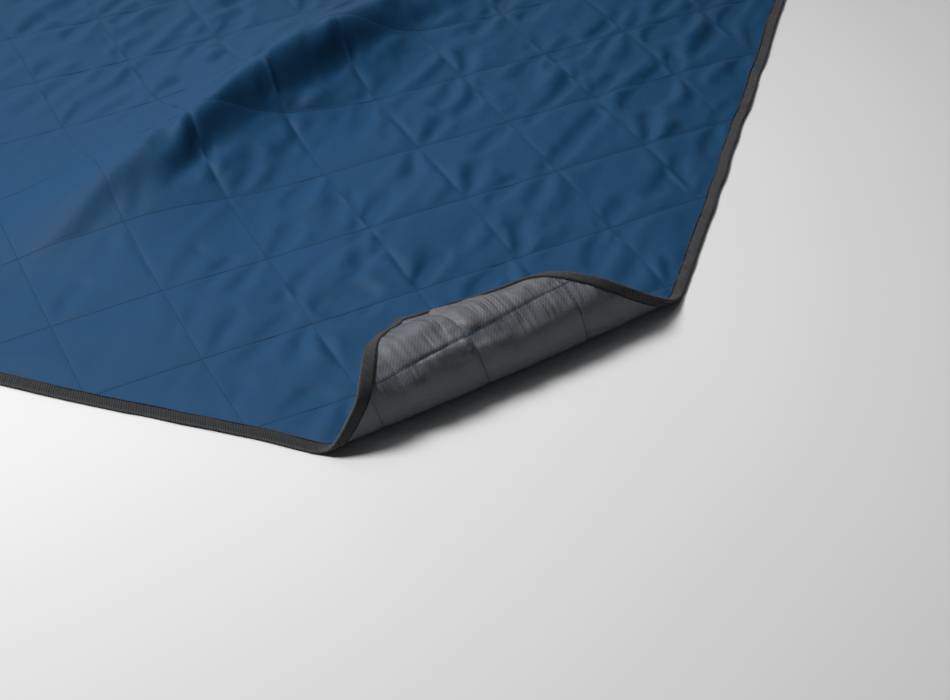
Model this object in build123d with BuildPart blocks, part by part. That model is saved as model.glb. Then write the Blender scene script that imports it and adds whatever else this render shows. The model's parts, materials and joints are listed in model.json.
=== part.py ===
from build123d import *

import os
from math import ceil, cos, floor, hypot, radians, sin, sqrt

# A quilted camp blanket that lies on the ground with its front right corner rolled back.
# +X runs along the front edge, +Y towards the back edge and +Z up. The origin is on the ground,
# under the middle of the blanket.

# Driving dimensions, in millimetres and degrees
blanket_width = 1400
blanket_length = 1900
tape_width = 12  # how far the folded binding tape reaches in from the edge
tape_thickness = 0.6
backing_thickness = 0.4
batting_thickness = 5.2
cover_thickness = 0.4
thread_width = 0.8
thread_height = 0.3
row_spacing = 110  # between quilting rows, which cross at right angles, at 45 degrees to the edges
crossing_inset_x = 18.7  # from the front right corner to the crossing of rows nearest to it
crossing_inset_y = 5.5
fold_front = 256  # from the front right corner to the crease, along the front edge
fold_right = 305  # the same along the right edge
roll_radius = 33  # of the underside, which is the outside of the roll
roll_start = 22  # how far before the crease the blanket leaves the ground
roll_sweep = 209
roll_steps = 14  # flat facets that the roll is made of
row_end_gap = 0.3  # between a row of stitches and the end of the facet that it lies on
roll_tape_gap = 0.3  # between the binding's stitches and the tape on the roll

# Heights of the layers over the underside of the tape
backing_bottom = tape_thickness
batting_bottom = backing_bottom + backing_thickness
cover_bottom = batting_bottom + batting_thickness
cover_top = cover_bottom + cover_thickness
blanket_thickness = cover_top + tape_thickness

# The crease: places on the flat blanket are also given by w, the distance along the crease from
# the front edge, and d, the distance from the crease towards the corner.
half_width = blanket_width / 2
half_length = blanket_length / 2
crease_length = hypot(fold_front, fold_right)
crease_dir = Vector(fold_front, fold_right) / crease_length
corner_dir = Vector(fold_right, -fold_front) / crease_length
crease_start = Vector(half_width - fold_front, -half_length)
roll_length = roll_radius * radians(roll_sweep)
facet_length = roll_length / roll_steps
flap_start = roll_length - roll_start
stations = [facet_length * step - roll_start for step in range(roll_steps + 1)]

# Quilting rows
crossing = Vector(half_width - crossing_inset_x, crossing_inset_y - half_length)
rising_dir = Vector(1, 1) / sqrt(2)  # towards the back right
falling_dir = Vector(1, -1) / sqrt(2)  # towards the front right
row_half_length = blanket_width + blanket_length
seam_inset = tape_width + thread_width  # where the quilting rows stop


def front_edge(d, inset=0):
    """How far along the crease's direction the front edge lies, d past the crease."""
    return (d * crease_dir.X + inset) / crease_dir.Y


def right_edge(d, inset=0):
    """How far along the crease's direction the right edge lies, d past the crease."""
    return crease_length - (d * crease_dir.Y + inset) / crease_dir.X


def corner(x_side, y_side, inset):
    """A corner of the flat blanket: x_side is 1 at the right, y_side is 1 at the back."""
    return x_side * (half_width - inset), y_side * (half_length - inset)


def cut(d, inset):
    """Where a line d past the crease meets the front edge and the right edge."""
    points = []
    for w in (front_edge(d, inset), right_edge(d, inset)):
        point = crease_start + crease_dir * w + corner_dir * d
        points.append((point.X, point.Y))
    return points


# Outlines on the flat blanket, drawn in from its edges by an inset
def lying_outline(inset):
    """The part that stays on the ground."""
    near = cut(-roll_start, inset)
    return [corner(-1, -1, inset), *near, corner(1, 1, inset), corner(-1, 1, inset)]


def flap_outline(inset):
    """The straight end of the folded corner."""
    return [*cut(flap_start, inset), corner(1, -1, inset)]


def facet_outline(step, inset):
    """One facet of the roll, with a gap at both of its ends."""
    low, high = stations[step] + row_end_gap, stations[step + 1] - row_end_gap
    return [*cut(low, inset), *reversed(cut(high, inset))]


def along_crease(points, zero_d=flap_start, squeeze=1):
    """Flat points on a plane with x along the crease and y back from zero_d to the crease."""
    places = []
    for x, y in points:
        offset = Vector(x, y) - crease_start
        places.append((offset.dot(crease_dir), (zero_d - offset.dot(corner_dir)) * squeeze))
    return places


def as_they_are(points):
    """Flat points on the ground plane."""
    return points


def roll_point(w, d, height):
    """Where a point of the blanket lies on the round roll."""
    turn = (d + roll_start) / roll_radius
    forward = (roll_radius - height) * sin(turn) - roll_start
    up = roll_radius - (roll_radius - height) * cos(turn)
    return crease_start + crease_dir * w + corner_dir * forward + Vector(0, 0, up)


def roll_section(points, d):
    """The face across the roll, d past the crease, with corners given by w and height."""
    base = roll_point(0, d, 0)
    rise = roll_point(0, d, 1) - base
    with BuildSketch(Plane(origin=base, x_dir=crease_dir, z_dir=crease_dir.cross(rise))) as section:
        with BuildLine():
            Polyline(*points, close=True)
        make_face()
    return section.sketch


def box_points(w_low, w_high, low, high):
    """A rectangle across the roll."""
    return [(w_low, low), (w_high, low), (w_high, high), (w_low, high)]


def channel_points(w_out, w_wall, w_in):
    """The folded tape's section: two legs and the wall that joins them outside the layers."""
    return [
        (w_out, 0),
        (w_in, 0),
        (w_in, backing_bottom),
        (w_wall, backing_bottom),
        (w_wall, cover_top),
        (w_in, cover_top),
        (w_in, blanket_thickness),
        (w_out, blanket_thickness),
    ]


def save(piece, name):
    """Label a finished piece and write it."""
    piece.part.label = name
    export_step(piece.part, f"parts/{name}.step")


os.makedirs("parts", exist_ok=True)

# The flap's plane: x along the crease, y back towards it, z from underside to top cover
flap_base = roll_point(0, flap_start, 0)
flap_rise = roll_point(0, flap_start, 1) - flap_base
flap_plane = Plane(origin=flap_base, x_dir=crease_dir, z_dir=flap_rise)

# Layers: backing underneath, batting, and the top cover. Each has a lying part, a rolled part
# and the flap at the end of the corner. They end inside the tape's fold.
layers = {
    "backing": (backing_bottom, batting_bottom),
    "batting": (batting_bottom, cover_bottom),
    "top_cover": (cover_bottom, cover_top),
}
for layer, (low, high) in layers.items():
    with BuildPart() as lying_layer:
        with BuildSketch(Plane.XY.offset(low)):
            with BuildLine():
                Polyline(*lying_outline(tape_thickness), close=True)
            make_face()
        extrude(amount=high - low)
    save(lying_layer, layer)

    with BuildPart() as rolled_layer:
        sections = []
        for d in stations:
            ends = front_edge(d, tape_thickness), right_edge(d, tape_thickness)
            sections.append(roll_section(box_points(*ends, low, high), d))
        loft(sections=sections, ruled=True)
    save(rolled_layer, f"{layer}_roll")

    with BuildPart() as flap_layer:
        with BuildSketch(flap_plane.offset(low)):
            with BuildLine():
                Polyline(*along_crease(flap_outline(tape_thickness)), close=True)
            make_face()
        extrude(amount=high - low)
    save(flap_layer, f"{layer}_flap")


# Binding tape, folded round the edge of the layers with a mitre at each corner. A length is the
# band between two insets from the blanket's edge; at each inset it runs from point to point.
def left_line(inset):
    return corner(-1, -1, inset), corner(-1, 1, inset)


def back_line(inset):
    return corner(-1, 1, inset), corner(1, 1, inset)


def front_line(inset):
    return corner(-1, -1, inset), cut(-roll_start, inset)[0]


def right_line(inset):
    return corner(1, 1, inset), cut(-roll_start, inset)[1]


def front_flap_line(inset):
    return along_crease([corner(1, -1, inset), cut(flap_start, inset)[0]])


def right_flap_line(inset):
    return along_crease([corner(1, -1, inset), cut(flap_start, inset)[1]])


lengths = {
    "binding_left": (Plane.XY, left_line),
    "binding_back": (Plane.XY, back_line),
    "binding_front": (Plane.XY, front_line),
    "binding_right": (Plane.XY, right_line),
    "binding_front_flap": (flap_plane, front_flap_line),
    "binding_right_flap": (flap_plane, right_flap_line),
}
for name, (plane, line) in lengths.items():
    with BuildPart() as tape:
        with BuildSketch(plane):
            with BuildLine():
                Polyline(*line(0), *reversed(line(tape_width)), close=True)
            make_face()
        extrude(amount=blanket_thickness)
        with BuildSketch(plane.offset(backing_bottom)):
            with BuildLine():
                Polyline(*line(tape_thickness), *reversed(line(tape_width)), close=True)
            make_face()
        extrude(amount=cover_top - backing_bottom, mode=Mode.SUBTRACT)
    save(tape, name)

edges = {"binding_front_roll": front_edge, "binding_right_roll": right_edge}
for name, edge in edges.items():
    with BuildPart() as rolled_tape:
        sections = []
        for d in stations:
            places = [edge(d, inset) for inset in (0, tape_thickness, tape_width)]
            sections.append(roll_section(channel_points(*places), d))
        loft(sections=sections, ruled=True)
    save(rolled_tape, name)

# Threads: the needle thread lies on the top cover, the bobbin thread under the backing.
# On the roll they lie on its flat facets.
thread_levels = {"needle": cover_top, "bobbin": backing_bottom - thread_height}
half_facet_turn = radians(roll_sweep) / roll_steps / 2
facet_thread_height = thread_height * cos(half_facet_turn)


def facet_plane(step, level):
    """The plane of one facet of the roll, at a height: x along the crease, y back towards it."""
    low, high = [roll_point(0, d, level) for d in stations[step : step + 2]]
    return Plane(origin=(low + high) / 2, x_dir=crease_dir, z_dir=(high - low).cross(crease_dir))


def on_facet(points, step, level):
    """Flat points on a facet's plane."""
    middle = (stations[step] + stations[step + 1]) / 2
    squeeze = 2 * (roll_radius - level) * sin(half_facet_turn) / facet_length
    return along_crease(points, middle, squeeze)


# Binding stitching: a row close against the tape's inner edge
def stitched_line(plane, outer, inner):
    """The row between two outlines."""
    with BuildSketch(plane) as row:
        with BuildLine():
            Polyline(*outer, close=True)
        make_face()
        with BuildLine():
            Polyline(*inner, close=True)
        make_face(mode=Mode.SUBTRACT)
    return row.sketch


for thread, level in thread_levels.items():
    with BuildPart() as lying_stitching:
        outlines = lying_outline(tape_width), lying_outline(seam_inset)
        extrude(stitched_line(Plane.XY.offset(level), *outlines), amount=thread_height)
    save(lying_stitching, f"binding_{thread}_thread")

    with BuildPart() as rolled_stitching:
        for step in range(roll_steps):
            insets = tape_width + roll_tape_gap, seam_inset
            outlines = [on_facet(facet_outline(step, inset), step, level) for inset in insets]
            row = stitched_line(facet_plane(step, level), *outlines)
            extrude(row, amount=facet_thread_height)
    save(rolled_stitching, f"binding_{thread}_thread_roll")

    with BuildPart() as flap_stitching:
        outlines = [along_crease(flap_outline(inset)) for inset in (tape_width, seam_inset)]
        extrude(stitched_line(flap_plane.offset(level), *outlines), amount=thread_height)
    save(flap_stitching, f"binding_{thread}_thread_flap")


# Quilting: rows of stitches in a diamond pattern
def quilting_rows(plane, outline, place):
    """Every quilting row inside a flat outline, placed on a plane."""
    with BuildSketch(plane) as rows:
        for row_dir, across_dir in ((rising_dir, falling_dir), (falling_dir, rising_dir)):
            reach = [(Vector(x, y) - crossing).dot(across_dir) / row_spacing for x, y in outline]
            for row in range(ceil(min(reach)), floor(max(reach)) + 1):
                middle = crossing + across_dir * row_spacing * row
                side = across_dir * thread_width / 2
                ends = [middle - row_dir * row_half_length, middle + row_dir * row_half_length]
                corners = [ends[0] - side, ends[1] - side, ends[1] + side, ends[0] + side]
                with BuildLine():
                    Polyline(*place([(point.X, point.Y) for point in corners]), close=True)
                make_face()
        with BuildLine():
            Polyline(*place(outline), close=True)
        make_face(mode=Mode.INTERSECT)
    return rows.sketch


for thread, level in thread_levels.items():
    with BuildPart() as lying_rows:
        rows = quilting_rows(Plane.XY.offset(level), lying_outline(seam_inset), as_they_are)
        extrude(rows, amount=thread_height)
    save(lying_rows, f"quilting_{thread}_thread")

    with BuildPart() as rolled_rows:
        for step in range(roll_steps):
            facet, outline = facet_plane(step, level), facet_outline(step, seam_inset)
            rows = quilting_rows(facet, outline, lambda points: on_facet(points, step, level))
            extrude(rows, amount=facet_thread_height)
    save(rolled_rows, f"quilting_{thread}_thread_roll")

    with BuildPart() as flap_rows:
        rows = quilting_rows(flap_plane.offset(level), flap_outline(seam_inset), along_crease)
        extrude(rows, amount=thread_height)
    save(flap_rows, f"quilting_{thread}_thread_flap")
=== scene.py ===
"""How the camp blanket looks: quilted cover, wadding, ripstop backing, bound edge and stitches.

Everything is drawn on the flat blanket first, as places x and y and a height over its underside,
and then laid: lay() rolls the front right corner back as the CAD does.
"""

import json

import bpy
import numpy as np
from mathutils import Matrix, Vector


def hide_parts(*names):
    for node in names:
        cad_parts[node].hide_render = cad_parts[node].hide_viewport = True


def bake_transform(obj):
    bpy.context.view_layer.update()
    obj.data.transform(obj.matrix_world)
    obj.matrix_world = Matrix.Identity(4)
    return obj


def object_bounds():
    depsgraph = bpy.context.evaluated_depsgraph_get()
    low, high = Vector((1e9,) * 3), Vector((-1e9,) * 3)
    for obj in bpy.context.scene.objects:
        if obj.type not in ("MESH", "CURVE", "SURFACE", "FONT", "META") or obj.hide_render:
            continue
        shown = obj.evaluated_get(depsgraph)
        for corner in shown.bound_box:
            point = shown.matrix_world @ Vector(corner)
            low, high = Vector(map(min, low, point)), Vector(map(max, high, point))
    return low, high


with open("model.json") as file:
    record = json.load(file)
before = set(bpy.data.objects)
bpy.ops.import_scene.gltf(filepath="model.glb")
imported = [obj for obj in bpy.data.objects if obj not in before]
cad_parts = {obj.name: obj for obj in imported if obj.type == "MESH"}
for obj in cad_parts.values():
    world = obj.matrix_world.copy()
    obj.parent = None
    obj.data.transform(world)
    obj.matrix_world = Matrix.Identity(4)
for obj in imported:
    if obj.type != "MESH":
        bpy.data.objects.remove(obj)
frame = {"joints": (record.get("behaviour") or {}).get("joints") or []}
cad_low, cad_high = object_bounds()

# ---------------------------------------------------------------------------------------------
# The blanket's own dimensions, in metres, as in the CAD
# ---------------------------------------------------------------------------------------------
half_width = cad_high.x
half_length = cad_high.y
tape_width = 0.012
row_spacing = 0.110
crossing = np.array([half_width - 0.0187, -half_length + 0.0055])
fold_front, fold_right = 0.256, 0.305

# How far the cloth has turned at distances past the crease: up, over and back down
fold_places = np.array([-0.010, 0.014, 0.046, 0.062, 0.1044])
fold_turns = np.radians([0, 80, 98, 142, 209])

# The rolled corner leans to the front, its flap is slightly arched with a wavy edge, and its tip
# is drawn in
corner_lean, lean_reach = 0.034, 0.13
flap_arch, arch_start, arch_length = 0.006, 0.03, 0.15
flap_edge_wave = 0.0022
tip_drawn_in = 0.009

# The laid-out corner: where past the crease the roll is nearest the hinge, and how high and
# between which distances past the crease it stays off the ground
nearest_hinge = 0.044
swelling_height = 0.018
swelling_rise = (-0.008, 0.028)
swelling_fall = (0.086, 0.054)

# Ripples across the left half of the lying blanket
near_ripple_height = 0.020
far_ripple_height = 0.044

crease_length = np.hypot(fold_front, fold_right)
crease_dir = np.array([fold_front, fold_right]) / crease_length
corner_dir = np.array([fold_right, -fold_front]) / crease_length
crease_start = np.array([half_width - fold_front, -half_length])
corner_reach = fold_front * fold_right / crease_length
rising_dir = np.array([1, 1]) / np.sqrt(2)
falling_dir = np.array([1, -1]) / np.sqrt(2)

# Heights over the underside
cover_seam = 0.0040
cover_puff = 0.0025
cover_lowest = 0.0033
cover_dip = 0.35  # how far the cover's puff dips at the falling rows
crease_depth = 0.0042
backing_seam = 0.0016
backing_highest = 0.0022
backing_puff = 0.0006  # on the ground
backing_puff_lifted = 0.0024  # added where the corner is off the ground
pucker_height = 0.0023
wadding_gap = 0.0008  # from the wadding to the sheets
thinnest_wadding = 0.0001
limit_softness = 0.0003  # how gently the sheets keep to their lowest and highest heights

# The lattice and the cloth simulation
cloth_inset = 0.003  # the sheets end this far inside the tape's fold
coarse_steps = 12  # lattice steps in each diamond, for the simulation
fine_steps = 32  # for the cover and the wadding
backing_steps, corner_steps = 24, 48
seam_crowding = 0.05  # how much closer together the lattice lines are beside a seam
wadding_pull = 0.004

# Stitches: their pitch, how far the tape's row lies from the edge, and the places along a stitch,
# in pitches, with its thickness there
quilt_stitch = 0.004
tape_stitch = 0.0032
stitch_inset = 0.0108
stitch_profile = ((-0.47, 0), (-0.30, 1), (0.30, 1), (0.47, 0))
stitch_flatness = 0.7
rows_each_way = 24  # more than cross the blanket
rows_under_tape = 0.001  # how far the quilting runs on under the tape

# Inset and height of the folded tape, from the top leg's edge round to the bottom leg's, and how
# far each lies across the tape from its fold
tape_step = 0.004
tape_section = 0.001 * np.array([
    (12.0, 4.0), (11.8, 4.9), (10.8, 5.1), (8.0, 5.1), (5.0, 5.0), (2.6, 4.7),
    (1.2, 4.1), (0.35, 3.3), (0.1, 2.4), (0.35, 1.4), (1.2, 0.6),
    (2.6, 0.25), (5.0, 0.15), (8.0, 0.1), (10.8, 0.1), (11.8, 0.2), (12.0, 0.9)])
tape_across = np.cumsum(np.append(0, np.hypot(*np.diff(tape_section, axis=0).T)))
tape_across = np.abs(tape_across - tape_across[len(tape_section) // 2])


def smooth(low, high, x):
    """0 at low, 1 at high, and an even curve between."""
    t = np.clip((x - low) / (high - low), 0, 1)
    return t * t * (3 - 2 * t)


def bell(x, width):
    """1 at 0, and falling away to both sides."""
    return np.exp(-((x / width) ** 2))


def past_crease(flat):
    """How far flat places lie past the crease, towards the corner."""
    return (flat - crease_start) @ corner_dir


def edge_distance(flat):
    """How far flat places lie from the nearest edge of the blanket."""
    return np.minimum(half_width - np.abs(flat[..., 0]), half_length - np.abs(flat[..., 1]))


def hash_noise(cells, seed):
    """Even random numbers from -1 to 1 for whole-number places, the same on every run."""
    mixed = cells[..., 0] * 374761393 + cells[..., 1] * 668265263 + seed * 974711
    mixed = (mixed ^ (mixed >> 13)) * 1274126177 & 0x7FFFFFFF
    return ((mixed ^ (mixed >> 16)) & 0xFFFF) / 32767.5 - 1


def noise(flat, sizes, seed):
    """Smooth noise from -1 to 1 with grains of the given sizes along x and y."""
    at = flat / np.asarray(sizes)
    cell = np.floor(at).astype(np.int64)
    t = at - cell
    t = t * t * t * (t * (6 * t - 15) + 10)
    corners = [hash_noise(cell + np.array(step), seed) for step in ((0, 0), (1, 0), (0, 1), (1, 1))]
    front = corners[0] + (corners[1] - corners[0]) * t[..., 0]
    back = corners[2] + (corners[3] - corners[2]) * t[..., 0]
    return front + (back - front) * t[..., 1]


# ---------------------------------------------------------------------------------------------
# How the blanket lies
# ---------------------------------------------------------------------------------------------
def undulation(flat):
    """The gentle rise and fall of the lying blanket, and two ripples across its left half."""
    x, y = flat[:, 0], flat[:, 1]
    inside = smooth(0.01, 0.12, edge_distance(flat))
    waves = 0.0020 * (1 + noise(flat, (0.31, 0.42), 3)) + 0.0012 * (1 + noise(flat, (0.13, 0.2), 5))
    grows = smooth(-0.84, -0.62, y) * smooth(-0.02, -0.42, y)
    from_crest = x - (0.140 + 0.19 * (y + 0.69) + 0.006 * noise(flat, (0.3, 0.11), 7))
    near_ripple = near_ripple_height * bell(from_crest, np.where(from_crest > 0, 0.055, 0.024))
    from_far = x - (0.109 + 0.34 * (y + 0.656) + 0.005 * noise(flat, (0.3, 0.13), 8))
    far_ripple = far_ripple_height * bell(from_far, np.where(from_far > 0, 0.027, 0.075))
    return inside * waves + grows * (near_ripple + far_ripple)


def by_long_side(flat):
    """Whether the nearest edge is the left or right one."""
    return half_width - np.abs(flat[:, 0]) < half_length - np.abs(flat[:, 1])


def edge_wander(flat):
    """How the laid edges stray from straight: how far they are drawn in, over a hand's width."""
    near = bell(edge_distance(flat), 0.06)
    along = np.where(by_long_side(flat), flat[:, 1], flat[:, 0])
    place = np.stack([along, np.zeros_like(along)], -1)
    return near * (0.0018 * (1 + noise(place, (0.09, 1), 41)) + 0.0010 * (1 + noise(place, (0.035, 1), 43)))


def turned(d):
    """How far the cloth has turned at distances past the crease."""
    return np.interp(d, fold_places, fold_turns)


fold_steps = np.linspace(fold_places[0], corner_reach + 0.01, 600)
step_turns = turned((fold_steps[1:] + fold_steps[:-1]) / 2)
fold_forward = fold_places[0] + np.cumsum(np.append(0, np.cos(step_turns) * np.diff(fold_steps)))
fold_up = np.cumsum(np.append(0, np.sin(step_turns) * np.diff(fold_steps)))


def lay(flat, height):
    """Where points of the flat blanket lie once its corner is rolled back."""
    offset = flat - crease_start
    w, d = offset @ crease_dir, offset @ corner_dir
    lifted = smooth(0.03, 0.10, d)
    edge_wave = flap_edge_wave * lifted * bell(edge_distance(flat), 0.03)
    height = height + edge_wave * noise(flat, (0.045, 0.045), 47)
    turn = turned(d)
    forward = np.minimum(d - fold_places[0], 0) + np.interp(d, fold_steps, fold_forward)
    forward = forward - height * np.sin(turn)
    up = np.interp(d, fold_steps, fold_up) + height * np.cos(turn)
    w = w - corner_lean * (1 - np.exp(-np.maximum(d, 0) / lean_reach))
    up = up + flap_arch * np.sin(np.pi * np.clip((d - arch_start) / arch_length, 0, 1)) ** 2
    forward = forward + tip_drawn_in * smooth(0.10, corner_reach, d)
    up = up + undulation(flat) * smooth(-0.13, -0.24, d)
    ground = crease_start + w[:, None] * crease_dir + forward[:, None] * corner_dir
    drawn_in = edge_wander(flat)[:, None] * smooth(0.10, 0, d)[:, None]
    sideways = by_long_side(flat)[:, None]
    inward = -np.sign(flat) * np.hstack([sideways, ~sideways])
    return np.column_stack([ground + drawn_in * inward, up])


def make_mesh(name, points, faces, flat, material):
    """A piece from points, lists of faces and its flat places, which it keeps as the UV map 'flat'."""
    mesh = bpy.data.meshes.new(name)
    mesh.from_pydata(points.tolist(), [], sum((part.tolist() for part in faces), []))
    uv = mesh.uv_layers.new(name="flat")
    loops = np.empty(len(mesh.loops), np.int32)
    mesh.loops.foreach_get("vertex_index", loops)
    uv.data.foreach_set("uv", flat[loops].astype(np.float32).ravel())
    mesh.polygons.foreach_set("use_smooth", [True] * len(mesh.polygons))
    mesh.materials.append(material)
    piece = bpy.data.objects.new(name, mesh)
    bpy.context.scene.collection.objects.link(piece)
    return piece


def follow_fold(piece, points, flat, height):
    """Works out how far each point would turn about the hinge to lie flat again when the corner is folded
    out, and bakes the piece's transform.

    A point only turns about the hinge, so it keeps its distance from it. It comes down to its
    height over the ground, before the hinge or past it; near the hinge the rolled cloth is too
    close to reach the ground and passes below it as a low swelling. Each point's share of the
    shorter way round is worked out but not kept.
    """
    hinge = np.array(frame["joints"][0]["pos_m"])
    ahead = (points[:, :2] - hinge[:2]) @ corner_dir
    below = hinge[2] - points[:, 2]
    reach = np.hypot(ahead, below)
    d = past_crease(flat)
    swelling = swelling_height * smooth(*swelling_rise, d) * smooth(*swelling_fall, d)
    landing = np.arccos(np.clip((hinge[2] - height - swelling) / reach, -1, 1))
    past = np.where(d < nearest_hinge, -landing, landing)
    share = (past - np.arctan2(ahead, below)) / (2 * np.pi - fold_turns[-1])
    share = np.where(d < fold_places[0], 0, share)
    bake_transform(piece)


# ---------------------------------------------------------------------------------------------
# The lattice: a grid that follows the quilting rows, so every seam is a line of its points
# ---------------------------------------------------------------------------------------------
def row_steps(per_cell, close_cells=((0, 0), (0, 0)), in_close_cell=0):
    """Steps along both directions of rows, in row units, with more of them in some cells."""
    corners = np.array([[x, y] for x in (-half_width, half_width) for y in (-half_length, half_length)])
    offset = (corners - crossing) / row_spacing
    steps = []
    for way, close in zip((rising_dir, falling_dir), close_cells):
        low, high = int(np.floor((offset @ way).min())), int(np.ceil((offset @ way).max()))
        parts = [k + np.arange(n) / n for k in range(low, high)
                 for n in [in_close_cell if close[0] <= k < close[1] else per_cell]]
        steps.append(np.append(np.concatenate(parts), high))
    return steps


def lattice(steps):
    """Grid places in row units and flat, and which of the grid's quads lie inside the outline."""
    lines = [t - seam_crowding * np.sin(2 * np.pi * t) for t in steps]
    p, q = np.meshgrid(*lines, indexing="ij")
    flat = crossing + row_spacing * (p[..., None] * rising_dir + q[..., None] * falling_dir)
    limits = np.array([half_width, half_length]) - cloth_inset
    inside = (np.abs(flat) < limits).all(-1)
    touched = inside[:-1, :-1] | inside[1:, :-1] | inside[1:, 1:] | inside[:-1, 1:]
    return np.stack([p, q], -1), np.clip(flat, -limits, limits), touched


def lattice_faces(touched):
    """The quads of a lattice, and the grid points that they use."""
    rows, columns = touched.shape
    index = np.arange((rows + 1) * (columns + 1)).reshape(rows + 1, columns + 1)
    quads = np.stack([index[:-1, :-1], index[1:, :-1], index[1:, 1:], index[:-1, 1:]], -1)[touched]
    used = np.unique(quads)
    renumber = np.full(index.size, -1)
    renumber[used] = np.arange(len(used))
    return renumber[quads], used


def resampled(grid, steps, new_steps, passes):
    """A grid of numbers carried over to other steps and smoothed."""
    for axis in (0, 1):
        at = np.interp(new_steps[axis], steps[axis], np.arange(len(steps[axis])))
        low = np.minimum(at.astype(int), len(steps[axis]) - 2)
        share = (at - low)[:, None]
        grid = np.moveaxis(grid, axis, 0)
        grid = grid[low] * (1 - share) + grid[low + 1] * share
        for _ in range(passes):
            grid[1:-1] = (grid[:-2] + 2 * grid[1:-1] + grid[2:]) / 4
        grid = np.moveaxis(grid, 0, axis)
    return grid


# ---------------------------------------------------------------------------------------------
# Puff, wrinkles and pleats
# ---------------------------------------------------------------------------------------------
def off_seams(cell):
    """0 on the falling and on the rising rows, nearly 1 in most of each diamond."""
    a, b = cell[..., 0] % 1, cell[..., 1] % 1
    return np.clip(4 * a * (1 - a), 0, 1) ** 0.30, np.clip(4 * b * (1 - b), 0, 1) ** 0.36


def puff(cell, flat, falling_dip=1):
    """How full the quilting is, from 0 on a seam or under the tape to 1 in the middle of a diamond.

    falling_dip is how far it dips at the falling rows; the rising ones were sewn last.
    """
    falling, rising = off_seams(cell)
    dome = (1 - falling_dip + falling_dip * falling) * rising
    return dome * smooth(tape_width - 0.004, tape_width + 0.03, edge_distance(flat)) ** 0.7


def streaks(cell, flat, seed):
    """Where the cover creases, from 0 to 1: long creases along y, most of them from crossings."""
    nearest = np.round(cell)
    whole = nearest.astype(np.int64)
    local = cell - nearest
    offset = row_spacing * (local[..., :1] * rising_dir + local[..., 1:] * falling_dir)
    dx, dy = offset[..., 0], offset[..., 1]
    which = whole * 2 + np.stack([dy > 0, dy > 0], -1)
    chosen = smooth(-0.5, 0.3, hash_noise(which, seed))
    lean = 0.05 + 0.30 * hash_noise(which, seed + 1)
    reach = 0.070 + 0.020 * hash_noise(which, seed + 2)
    away = np.abs(dy)
    across = dx - lean * dy - 0.003 * np.sin(dy / 0.011)
    width = 0.0050 + 0.10 * away
    valley = bell(across, width) - 0.5 * bell(across - 1.7 * width, 1.2 * width)
    valley = valley - 0.25 * bell(across + 1.7 * width, width)
    fans = chosen * valley * smooth(0.002, 0.012, away) * smooth(reach + 0.02, reach - 0.02, away)
    slanted = np.stack([flat[..., 0] - 0.22 * flat[..., 1], flat[..., 1]], -1)
    loose = noise(slanted, (0.020, 0.075), seed + 3)
    loose = smooth(0.25, 0.85, loose) - 0.5 * smooth(0.25, 0.85, -loose)
    broad = noise(slanted, (0.034, 0.10), seed + 4)
    return 0.8 * fans + loose + 0.45 * broad


def crease_strength(flat, seed):
    """The front left of the blanket is smoother than the rest, and the rest is uneven."""
    towards_back = flat[..., 1] + 0.7 * (flat[..., 0] - 0.3)
    patchy = 0.55 + 0.45 * smooth(-0.6, 0.4, noise(flat, (0.21, 0.24), seed))
    return (0.30 + 0.70 * smooth(-0.88, -0.55, towards_back)) * patchy


def relax_cloth(flat, height, held, longer, nudge, rounds):
    """Cloth simulation of a lattice that is held at its stitches and lies on the wadding.

    longer is how much longer than its place the cloth is, along x and along y: it has nowhere to
    go but up and down, in wrinkles. nudge is the small start that decides where they form.
    """
    points = np.concatenate([flat, (height + nudge)[..., None]], -1)
    free = 1.0 - held
    links = []
    for i, j, pull in ((1, 0, 0.9), (0, 1, 0.9), (1, 1, 0.6), (1, -1, 0.6), (2, 0, 0.2), (0, 2, 0.2)):
        low = (slice(0, -i or None), slice(0, -j or None) if j >= 0 else slice(-j, None))
        high = (slice(i, None), slice(j, None) if j >= 0 else slice(0, j))
        gap = (flat[high] - flat[low]) * (1 + (longer[high] + longer[low]) / 2)
        links.append((low, high, np.sqrt((gap**2).sum(-1)), pull))
    for _ in range(rounds):
        for low, high, length, pull in links:
            apart = points[high] - points[low]
            now = np.sqrt((apart**2).sum(-1)) + 1e-9
            shares = free[low] + free[high] + 1e-9
            move = apart * (pull * 0.5 * (now - length) / now / shares)[..., None]
            points[low] += move * free[low][..., None]
            points[high] -= move * free[high][..., None]
        points[..., 2] += wadding_pull * free * (height - points[..., 2])
    return points


def wrinkles(where, along_x, along_y, nudge_height, rounds):
    """How far a simulated sheet stands off its even puff, on the coarse lattice.

    where is a function of the lattice's places: the cloth is longest, and is nudged, where it is 1.
    """
    cell, flat, _ = lattice(coarse)
    on_seam = (np.abs((cell + 0.5) % 1 - 0.5) < 1e-6).any(-1)
    held = (on_seam | (edge_distance(flat) < tape_width)).astype(float)
    even = cover_puff * puff(cell, flat, cover_dip)
    share = where(cell, flat)
    longer = np.stack([along_x * np.abs(share), along_y * np.abs(share)], -1)
    points = relax_cloth(flat, even, held, longer, nudge_height * share * (1 - held), rounds)
    return (points[..., 2] - even) * (1 - held)


def pleats(cell, seed):
    """Small pleats that run out from each stitched row, from about -1 to 1."""
    total = 0
    for along, across in ((0, 1), (1, 0)):
        nearest = np.round(cell[..., across])
        away = np.abs(cell[..., across] - nearest) * row_spacing
        side = 2 * nearest + (cell[..., across] > nearest)
        place = cell[..., along] * row_spacing + 0.15 * away * np.sin(7 * side)
        fine = noise(np.stack([place, side], -1), (0.0065, 1), seed)
        broad = noise(np.stack([place, side], -1), (0.014, 1), seed + 1)
        patchy = smooth(-0.5, 0.6, noise(np.stack([place, side], -1), (0.05, 1), seed + 2))
        fading = fine * np.exp(-away / 0.014) + broad * np.exp(-away / 0.045)
        total = total + patchy * smooth(0.0004, 0.003, away) * fading
    return total


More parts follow.
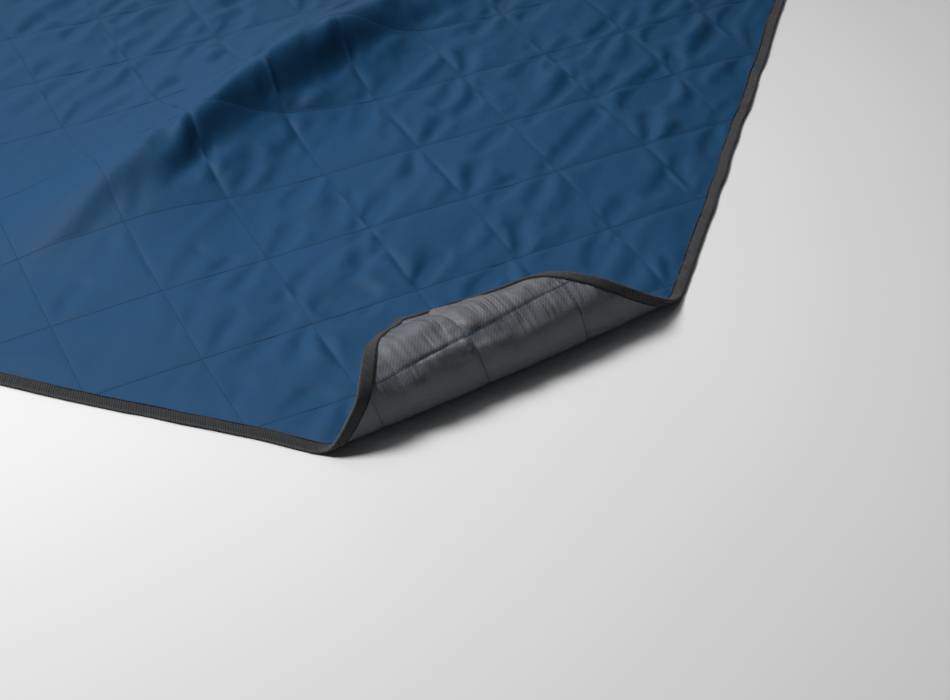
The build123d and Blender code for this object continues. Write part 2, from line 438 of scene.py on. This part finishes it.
# ---------------------------------------------------------------------------------------------
# Materials. Their patterns are drawn on the UV map 'flat', whose unit is the metre.
# ---------------------------------------------------------------------------------------------
class Look:
    """A Principled material and short ways to add nodes to it."""

    def __init__(self, name, **values):
        self.material = bpy.data.materials.new(name)
        self.material.use_nodes = True
        self.nodes = self.material.node_tree.nodes
        self.links = self.material.node_tree.links
        self.shader = self.nodes["Principled BSDF"]
        for socket, value in values.items():
            self.shader.inputs[socket.replace("_", " ")].default_value = value
        self.place = self.nodes.new("ShaderNodeUVMap")
        self.place.uv_map = "flat"
        split = self.nodes.new("ShaderNodeSeparateXYZ")
        self.links.new(self.place.outputs["UV"], split.inputs[0])
        self.u, self.v = split.outputs["X"], split.outputs["Y"]

    def feed(self, socket, value):
        """Sets a socket to a number or a colour, or links another socket to it."""
        if isinstance(value, bpy.types.NodeSocket):
            self.links.new(value, socket)
        else:
            socket.default_value = value

    def math(self, operation, *values):
        """A Math node on numbers or sockets."""
        node = self.nodes.new("ShaderNodeMath")
        node.operation = operation
        for socket, value in zip(node.inputs, values):
            self.feed(socket, value)
        return node.outputs[0]

    def spots(self, grain_u, grain_v=None, detail=2, turn=0.0):
        """Noise from 0 to 1 whose grains are this large, in metres."""
        mapping = self.nodes.new("ShaderNodeMapping")
        mapping.vector_type = "TEXTURE"
        mapping.inputs["Rotation"].default_value = (0, 0, turn)
        mapping.inputs["Scale"].default_value = (grain_u, grain_v or grain_u, 1)
        self.links.new(self.place.outputs["UV"], mapping.inputs["Vector"])
        node = self.nodes.new("ShaderNodeTexNoise")
        node.inputs["Scale"].default_value = 1
        node.inputs["Detail"].default_value = detail
        self.links.new(mapping.outputs[0], node.inputs["Vector"])
        return node.outputs["Fac"]

    def ribs(self, along, pitch):
        """Even ribs from 0 to 1 across a coordinate."""
        wave = self.math("SINE", self.math("MULTIPLY", along, 2 * np.pi / pitch))
        return self.math("MULTIPLY_ADD", wave, 0.5, 0.5)

    def band(self, value, low, high):
        """0 below low to 1 above high, evenly curved."""
        node = self.nodes.new("ShaderNodeMapRange")
        node.interpolation_type = "SMOOTHSTEP"
        self.feed(node.inputs["Value"], value)
        node.inputs["From Min"].default_value = low
        node.inputs["From Max"].default_value = high
        return node.outputs[0]

    def row_gap(self, way):
        """Distance from the nearest quilting row that runs across the given direction, in metres."""
        along = self.math("MULTIPLY_ADD", self.u, way[0] / row_spacing, -(crossing @ way) / row_spacing)
        along = self.math("MULTIPLY_ADD", self.v, way[1] / row_spacing, along)
        return self.math("MULTIPLY", self.math("PINGPONG", along, 0.5), row_spacing)

    def seam_gap(self):
        """Distance from the nearest quilting row; the falling rows count as a little further."""
        to_rising_row = self.row_gap(falling_dir)
        to_falling_row = self.math("ADD", self.row_gap(rising_dir), 0.0005)
        return self.math("MINIMUM", to_rising_row, to_falling_row)

    def blend(self, share, first, second):
        """A colour between two colours or colour sockets."""
        node = self.nodes.new("ShaderNodeMix")
        node.data_type = "RGBA"
        self.feed(node.inputs["Factor"], share)
        for socket, value in ((node.inputs[6], first), (node.inputs[7], second)):
            self.feed(socket, value if isinstance(value, bpy.types.NodeSocket) else (*value, 1))
        return node.outputs[2]

    def relief(self, *layers):
        """Stacked bumps: pairs of a height from 0 to 1 and its depth in metres."""
        normal = None
        for height, depth in layers:
            node = self.nodes.new("ShaderNodeBump")
            node.inputs["Distance"].default_value = depth
            self.links.new(height, node.inputs["Height"])
            if normal:
                self.links.new(normal, node.inputs["Normal"])
            normal = node.outputs["Normal"]
        self.links.new(normal, self.shader.inputs["Normal"])

    def colour(self, value):
        self.links.new(value, self.shader.inputs["Base Color"])

    def roughness(self, value, low, high):
        self.links.new(self.math("MULTIPLY_ADD", value, high - low, low), self.shader.inputs["Roughness"])


def satin_material():
    """Blue satiny cloth with fine yarns, a twill line and painted shade in a line along each seam."""
    look = Look("satin_cover", Specular_IOR_Level=0.22, Sheen_Weight=0.05, Sheen_Roughness=0.35,
                Sheen_Tint=(0.45, 0.62, 0.85, 1))
    cloudy = look.spots(0.05, 0.12, detail=3)
    yarn = look.spots(0.0006, 0.004, detail=2)
    dyed = look.blend(cloudy, (0.002, 0.036, 0.092), (0.004, 0.044, 0.111))
    dyed = look.blend(look.math("MULTIPLY", yarn, 0.30), dyed, (0.007, 0.064, 0.150))
    # Painted shade: the cover is darker in a thin line along each seam, where it dips into it, and fainter
    # at the falling rows.
    painted_seam_shade = look.band(look.seam_gap(), 0.0001, 0.0012)
    look.colour(look.blend(painted_seam_shade, (0.003, 0.026, 0.068), dyed))
    look.roughness(cloudy, 0.58, 0.70)
    twill = look.ribs(look.math("ADD", look.u, look.math("MULTIPLY", look.v, 0.5)), 0.0007)
    look.relief((look.spots(0.014, 0.040, detail=3), 0.0006), (yarn, 0.00010), (twill, 0.00005))
    return look.material


def ripstop_material():
    """Grey coated cloth with ripstop squares and painted shade along its seams, and crinkled where the
    corner is off the ground.
    """
    look = Look("ripstop_backing", Specular_IOR_Level=0.25, Sheen_Weight=0.15, Sheen_Roughness=0.25,
                Sheen_Tint=(0.86, 0.91, 1, 1))
    half_square = 0.0013
    thick_u = look.band(look.math("PINGPONG", look.u, half_square), 0.00010, 0.00034)
    thick_v = look.band(look.math("PINGPONG", look.v, half_square), 0.00010, 0.00034)
    square = look.math("MULTIPLY", thick_u, thick_v)
    cloudy = look.spots(0.03, detail=4)
    ground = look.blend(cloudy, (0.084, 0.087, 0.096), (0.108, 0.111, 0.121))
    woven = look.blend(square, (0.140, 0.144, 0.155), ground)
    # Painted shade: the backing is darker in a line along each seam.
    painted_seam_shade = look.band(look.seam_gap(), 0.0002, 0.0020)
    look.colour(look.blend(painted_seam_shade, (0.042, 0.047, 0.058), woven))
    look.roughness(cloudy, 0.30, 0.42)
    turn = np.arctan2(corner_dir[1], corner_dir[0])
    crinkle = look.spots(0.040, 0.0052, detail=1, turn=turn)
    folds = look.spots(0.060, 0.0130, detail=1, turn=turn)
    patches = look.band(look.spots(0.045, detail=1), 0.42, 0.60)
    weave = look.math("MULTIPLY", look.ribs(look.u, 0.0004), look.ribs(look.v, 0.0004))
    past = look.math("MULTIPLY_ADD", look.u, corner_dir[0], -(crease_start @ corner_dir))
    past = look.math("MULTIPLY_ADD", look.v, corner_dir[1], past)
    loose = look.math("MULTIPLY_ADD", look.band(past, 0.030, 0.060), 0.85, 0.15)
    look.relief((look.math("MULTIPLY", folds, loose), 0.0050),
                (look.math("MULTIPLY", crinkle, look.math("MULTIPLY", loose, patches)), 0.0026),
                (look.math("SUBTRACT", 1.0, square), 0.00012),
                (weave, 0.00004))
    return look.material


def tape_material():
    """Charcoal ribbed tape, lighter on its rib crests, with a painted highlight along its fold and painted
    shade in a line at its stitches.
    """
    look = Look("grosgrain_tape", Specular_IOR_Level=0.25, Sheen_Weight=0.12, Sheen_Roughness=0.5)
    cloudy = look.spots(0.02, 0.006, detail=3)
    rib = look.ribs(look.u, 0.0024)
    dyed = look.blend(cloudy, (0.009, 0.010, 0.012), (0.017, 0.018, 0.021))
    # The tape is lighter on its rib crests.
    ribs_and_fold_highlight = look.blend(look.math("MULTIPLY", rib, 0.45), dyed, (0.034, 0.035, 0.039))
    # Painted highlight: the tape is lighter along its folded edge.
    fold_gap = look.math("ABSOLUTE", look.v)
    ribs_and_fold_highlight = look.blend(look.band(fold_gap, 0.0006, 0.0030), (0.050, 0.051, 0.055), ribs_and_fold_highlight)
    # Painted shade: a dark line in the groove along the stitch row, under the black thread.
    stitch_gap = look.math("ABSOLUTE", look.math("SUBTRACT", fold_gap, tape_across[2]))
    look.colour(look.blend(look.band(stitch_gap, 0.0003, 0.0012), (0.003, 0.003, 0.004), ribs_and_fold_highlight))
    look.roughness(cloudy, 0.72, 0.88)
    stretch = look.spots(0.006, 0.02, detail=3)
    look.relief((stretch, 0.0016), (rib, 0.0006), (look.ribs(look.v, 0.0006), 0.00005))
    return look.material


def thread_material(name, dark, light):
    """Twisted thread between two colours."""
    look = Look(name, Specular_IOR_Level=0.2)
    twist = look.ribs(look.math("ADD", look.u, look.v), 0.0006)
    look.colour(look.blend(twist, dark, light))
    look.roughness(look.spots(0.01), 0.65, 0.80)
    look.relief((twist, 0.00006))
    return look.material


def wadding_material():
    """White matted fibres."""
    look = Look("polyester_wadding", Specular_IOR_Level=0.2, Sheen_Weight=0.4)
    fibres = look.spots(0.0006, 0.006, detail=5)
    crossing_fibres = look.spots(0.006, 0.0007, detail=5, turn=0.6)
    both = look.math("MAXIMUM", fibres, crossing_fibres)
    look.colour(look.blend(both, (0.62, 0.62, 0.60), (0.86, 0.86, 0.84)))
    look.roughness(both, 0.85, 0.95)
    look.relief((both, 0.0008), (look.spots(0.008, detail=3), 0.001))
    return look.material


def paper_material():
    """Pale matt paper."""
    look = Look("floor_paper", Specular_IOR_Level=0.15)
    look.colour(look.blend(look.spots(0.6, detail=3), (0.61, 0.61, 0.605), (0.64, 0.64, 0.635)))
    look.roughness(look.spots(0.3), 0.75, 0.85)
    look.relief((look.spots(0.002, detail=4), 0.00002))
    return look.material


# ---------------------------------------------------------------------------------------------
# Sheets
# ---------------------------------------------------------------------------------------------
cells_at_corner = ((-2, 2), (-2, 0))
coarse = row_steps(coarse_steps)
fine = row_steps(fine_steps)
close = row_steps(backing_steps, cells_at_corner, corner_steps)


def cover_creases(cell, flat):
    """Where the cover creases downwards: -1 in the middle of a crease."""
    return -streaks(cell, flat, 11) * crease_strength(flat, 17)


def backing_creases(cell, flat):
    """The backing wrinkles in small even grains."""
    return noise(flat, (0.02, 0.02), 23)


cover_wrinkles = wrinkles(cover_creases, 0.10, 0.02, 0.0020, 120)
backing_wrinkles = wrinkles(backing_creases, 0.03, 0.03, 0.0010, 120)


def even_cover(cell, flat):
    """Height of the cover without its wrinkles, over the underside."""
    return cover_seam + cover_puff * (1 + 0.35 * noise(flat, (0.07, 0.10), 13)) * puff(cell, flat, cover_dip)


def cover_heights(steps):
    """Height of the cover over the underside."""
    cell, flat, _ = lattice(steps)
    falling, rising = off_seams(cell)
    free = np.minimum(1, 2 * falling * rising * puff(cell, flat))
    sharp = crease_depth * free * cover_creases(cell, flat)
    height = even_cover(cell, flat) + resampled(cover_wrinkles, coarse, steps, 1) + sharp
    return cover_lowest + limit_softness * np.logaddexp(0, (height - cover_lowest) / limit_softness)


def backing_heights(steps):
    """Height of the backing over the underside; its puff and puckers go down from its seams."""
    cell, flat, _ = lattice(steps)
    past = past_crease(flat)
    off_ground = smooth(-0.005, 0.03, past)
    full = puff(cell, flat) * smooth(tape_width, tape_width + 0.03, edge_distance(flat))
    free = np.minimum(1, 3 * full)
    off_roll = 0.25 + 0.75 * smooth(0.03, 0.06, past)
    towards_tip = 1 + 0.8 * smooth(0.08, 0.16, past)
    puckers = pucker_height * pleats(cell, 53) * free * off_roll * towards_tip
    loose = resampled(backing_wrinkles, coarse, steps, 2) * (0.3 + 0.7 * smooth(0.03, 0.06, past)) + puckers
    height = backing_seam - (backing_puff + backing_puff_lifted * off_ground) * full + off_ground * loose
    return backing_highest - limit_softness * np.logaddexp(0, (backing_highest - height) / limit_softness)


def make_sheet(name, steps, heights, material, turned_over):
    """A sheet on the lattice; the backing is turned over, so that its face is below."""
    _, flat, touched = lattice(steps)
    faces, used = lattice_faces(touched)
    flat = flat.reshape(-1, 2)[used]
    height = heights.reshape(-1)[used]
    points = lay(flat, height)
    piece = make_mesh(name, points, [faces[:, ::-1] if turned_over else faces], flat, material)
    follow_fold(piece, points, flat, height)
    return piece


def lowest_nearby(grid):
    """The lowest of each grid number and its neighbours."""
    for axis in (0, 1):
        grid = np.minimum(grid, np.minimum(np.roll(grid, 1, axis), np.roll(grid, -1, axis)))
    return grid


def make_wadding():
    """A closed pad between the two sheets."""
    _, flat, touched = lattice(fine)
    faces, used = lattice_faces(touched)
    flat = flat.reshape(-1, 2)[used]
    top = lowest_nearby(cover_heights(fine)).reshape(-1)[used] - wadding_gap
    bottom = -lowest_nearby(-backing_heights(fine)).reshape(-1)[used] + wadding_gap
    top = np.maximum(top, bottom + thinnest_wadding)
    count = len(used)
    edges = np.stack([faces, np.roll(faces, -1, 1)], -1).reshape(-1, 2)
    codes, back_codes = edges @ [count, 1], edges @ [1, count]
    rim = edges[~np.isin(codes, back_codes)]
    sides = np.column_stack([rim[:, 1], rim[:, 0], rim[:, 0] + count, rim[:, 1] + count])
    points = np.concatenate([lay(flat, top), lay(flat, bottom)])
    flat = np.concatenate([flat, flat])
    shell = [faces, faces[:, ::-1] + count, sides]
    piece = make_mesh("wadding", points, shell, flat, wadding_material())
    follow_fold(piece, points, flat, np.concatenate([top, bottom]))
    return piece


cover = make_sheet("quilted_cover", fine, cover_heights(fine), satin_material(), False)
backing = make_sheet("ripstop_backing", close, backing_heights(close), ripstop_material(), True)
batting = make_wadding()


# ---------------------------------------------------------------------------------------------
# Binding tape
# ---------------------------------------------------------------------------------------------
def side_place(side, along, inset):
    """A place on one side of the blanket, from -1 to 1 along it, drawn in by inset."""
    x_end, y_end = half_width - inset, half_length - inset
    ends = {"front": (along * x_end, -y_end), "right": (x_end, along * y_end),
            "back": (-along * x_end, y_end), "left": (-x_end, -along * y_end)}
    return np.stack(np.broadcast_arrays(*ends[side]), -1)


side_lengths = {"front": 2 * half_width, "right": 2 * half_length,
                "back": 2 * half_width, "left": 2 * half_length}


def make_tape():
    """Four lengths of folded tape that meet at mitres; the UV map runs along and across the tape."""
    points, quads, flats, heights, places = [], [], [], [], []
    for side, length in side_lengths.items():
        steps = int(length / tape_step)
        along = np.linspace(-1, 1, steps + 1)
        first = sum(len(part) for part in points)
        for (inset, height), v in zip(tape_section, tape_across):
            flat = side_place(side, along, inset)
            ripple = 0.10 * noise(flat + height, (0.012, 0.012), 31) + 0.12 * noise(flat, (0.04, 0.04), 33)
            flats.append(flat)
            places.append(np.column_stack([along * length / 2, np.full(steps + 1, v)]))
            heights.append(height * (1 + ripple))
            points.append(lay(flat, heights[-1]))
        index = first + np.arange(len(tape_section) * (steps + 1)).reshape(len(tape_section), steps + 1)
        corners = [index[:-1, :-1], index[:-1, 1:], index[1:, 1:], index[1:, :-1]]
        quads.append(np.stack(corners, -1).reshape(-1, 4))
    points, places = np.concatenate(points), np.concatenate(places)
    piece = make_mesh("edge_binding", points, quads, places, tape_material())
    follow_fold(piece, points, np.concatenate(flats), np.concatenate(heights))
    return piece


tape = make_tape()


# ---------------------------------------------------------------------------------------------
# Stitches
# ---------------------------------------------------------------------------------------------
def quilting_rows():
    """Start and end of every quilting row, between the inner edges of the tape."""
    limits = np.array([half_width, half_length]) - tape_width + rows_under_tape
    rows = []
    for way, other in ((rising_dir, falling_dir), (falling_dir, rising_dir)):
        for number in range(-rows_each_way, rows_each_way):
            origin = crossing + number * row_spacing * other
            ends = np.sort([(-limits - origin) / way, (limits - origin) / way], axis=0)
            first, last = ends[0].max(), ends[1].min()
            if last - first > quilt_stitch:
                rows.append((origin + first * way, origin + last * way))
    return rows


def tape_rows():
    """Start and end of the row of stitches along the tape on each side."""
    return [(side_place(side, -1, stitch_inset), side_place(side, 1, stitch_inset)) for side in side_lengths]


def make_stitches(name, rows, pitch, width, height_at, material):
    """A row of stitches as spindles, each as long as the pitch less the gap at its needle holes."""
    centres, ways = [], []
    for start, end in rows:
        length = np.hypot(*(end - start))
        way = (end - start) / length
        count = int(length / pitch)
        centres.append(start + way * ((np.arange(count) + 0.5) * length / count)[:, None])
        ways.append(np.tile(way, (count, 1)))
    centre, way = np.concatenate(centres), np.concatenate(ways)
    normal = np.column_stack([-way[:, 1], way[:, 0]])
    flats, heights, places = [], [], []
    for share, size in stitch_profile:
        for turn in range(4) if size else (0,):
            out, rise = size * np.cos(turn * np.pi / 2), size * np.sin(turn * np.pi / 2)
            flats.append(centre + way * share * pitch + normal * out * width / 2)
            heights.append(height_at(centre) + rise * width / 2 * stitch_flatness)
            places.append((share * pitch, turn * width / 2))
    count, per_stitch = len(centre), len(places)
    flat = np.stack(flats, 1).reshape(-1, 2)
    heights = np.stack(heights, 1).reshape(-1)
    points = lay(flat, heights)
    # Each stitch's points are one end, two rings of four, and the other end
    first = (per_stitch * np.arange(count))[:, None]
    tips, quads = [], []
    for k in range(4):
        after = (k + 1) % 4
        tips += [first + [0, 1 + after, 1 + k], first + [9, 5 + k, 5 + after]]
        quads.append(first + [1 + k, 1 + after, 5 + after, 5 + k])
    piece = make_mesh(name, points, tips + quads, np.tile(places, (count, 1)), material)
    follow_fold(piece, points, flat, heights)
    return piece


def on_cover(flat):
    """Height just over the cover, as a function of flat places."""
    offset = (flat - crossing) / row_spacing
    return even_cover(np.stack([offset @ rising_dir, offset @ falling_dir], -1), flat) + 0.0001


def level(height):
    """The same height everywhere, as a function of flat places."""
    return lambda flat: np.full(len(flat), height)


blue_thread = thread_material("blue_thread", (0.006, 0.028, 0.072), (0.011, 0.048, 0.112))
pale_blue_thread = thread_material("pale_blue_thread", (0.040, 0.090, 0.150), (0.085, 0.160, 0.250))
black_thread = thread_material("black_thread", (0.004, 0.004, 0.005), (0.014, 0.014, 0.016))
rows = quilting_rows()
quilt_needle = make_stitches(
    "quilting_needle_stitches", rows, quilt_stitch, 0.0005, on_cover, blue_thread)
quilt_bobbin = make_stitches(
    "quilting_bobbin_stitches", rows, quilt_stitch, 0.0008, level(backing_seam - 0.0001),
    pale_blue_thread)
tape_needle = make_stitches(
    "binding_needle_stitches", tape_rows(), tape_stitch, 0.0010, level(0.0052),
    black_thread)
tape_bobbin = make_stitches(
    "binding_bobbin_stitches", tape_rows(), tape_stitch, 0.0010, level(0.0001),
    black_thread)


# ---------------------------------------------------------------------------------------------
# The CAD parts that these pieces replace, hidden
# ---------------------------------------------------------------------------------------------
stretches = ("", "_roll", "_flap")
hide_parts(*("top_cover" + part for part in stretches))
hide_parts(*("batting" + part for part in stretches))
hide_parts(*("backing" + part for part in stretches))
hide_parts("binding_left", "binding_back",
            *("binding_" + side + part for side in ("front", "right") for part in stretches))
for piece in (quilt_needle, quilt_bobbin, tape_needle, tape_bobbin):
    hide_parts(*(piece.name.replace("stitches", "thread") + part for part in stretches))


# ---------------------------------------------------------------------------------------------
# Floor, light and camera
# ---------------------------------------------------------------------------------------------
def make_floor():
    """A large sheet of pale paper, just below the lowest stitches."""
    size, below = 12, -0.0006
    corners = np.array([(-size, -size), (size, -size), (size, size), (-size, size)], float)
    points = np.column_stack([corners, np.full(4, below)])
    mesh = bpy.data.meshes.new("floor")
    mesh.from_pydata(points.tolist(), [], [(0, 1, 2, 3)])
    uv = mesh.uv_layers.new(name="flat")
    uv.data.foreach_set("uv", corners.astype(np.float32).ravel())
    mesh.materials.append(paper_material())
    floor = bpy.data.objects.new("floor", mesh)
    bpy.context.scene.collection.objects.link(floor)


def area_light(name, place, target, size, power, spread=180):
    """A rectangular lamp at a place, turned towards a target."""
    lamp = bpy.data.lights.new(name, "AREA")
    lamp.shape = "RECTANGLE"
    lamp.size, lamp.size_y = size
    lamp.energy = power
    lamp.spread = np.radians(spread)
    light = bpy.data.objects.new(name, lamp)
    light.location = place
    light.rotation_mode = "QUATERNION"
    light.rotation_quaternion = (Vector(target) - Vector(place)).to_track_quat("-Z", "Y")
    bpy.context.scene.collection.objects.link(light)


make_floor()
area_light("window", (-1.24, -1.30, 2.50), (0.26, -0.66, 0), (0.80, 0.80), 19, spread=72)
area_light("back_window", (-1.3, 1.9, 1.1), (0.4, -0.7, 0), (2.0, 1.3), 10)
area_light("overhead", (-0.7, 0.0, 3.0), (-0.4, 0.0, 0), (2.4, 2.4), 32)
world = bpy.data.worlds.new("studio")
world.use_nodes = True
background = world.node_tree.nodes["Background"]
background.inputs["Color"].default_value = (0.85, 0.93, 1, 1)
background.inputs["Strength"].default_value = 0.05
bpy.context.scene.world = world
bpy.context.scene.view_settings.view_transform = "Standard"

lens = bpy.data.cameras.new("camera")
lens.lens = 59.9
lens.sensor_width = 36
camera = bpy.data.objects.new("camera", lens)
right = Vector((0.9546, 0.2979, -0.0020))
up = Vector((-0.1926, 0.6223, 0.7588))
back = Vector((0.2273, -0.7239, 0.6514))
aim = Matrix((right, up, back)).transposed().to_4x4()
camera.matrix_world = Matrix.Translation((0.8618, -1.8392, 0.959)) @ aim
bpy.context.scene.collection.objects.link(camera)
bpy.context.scene.camera = camera
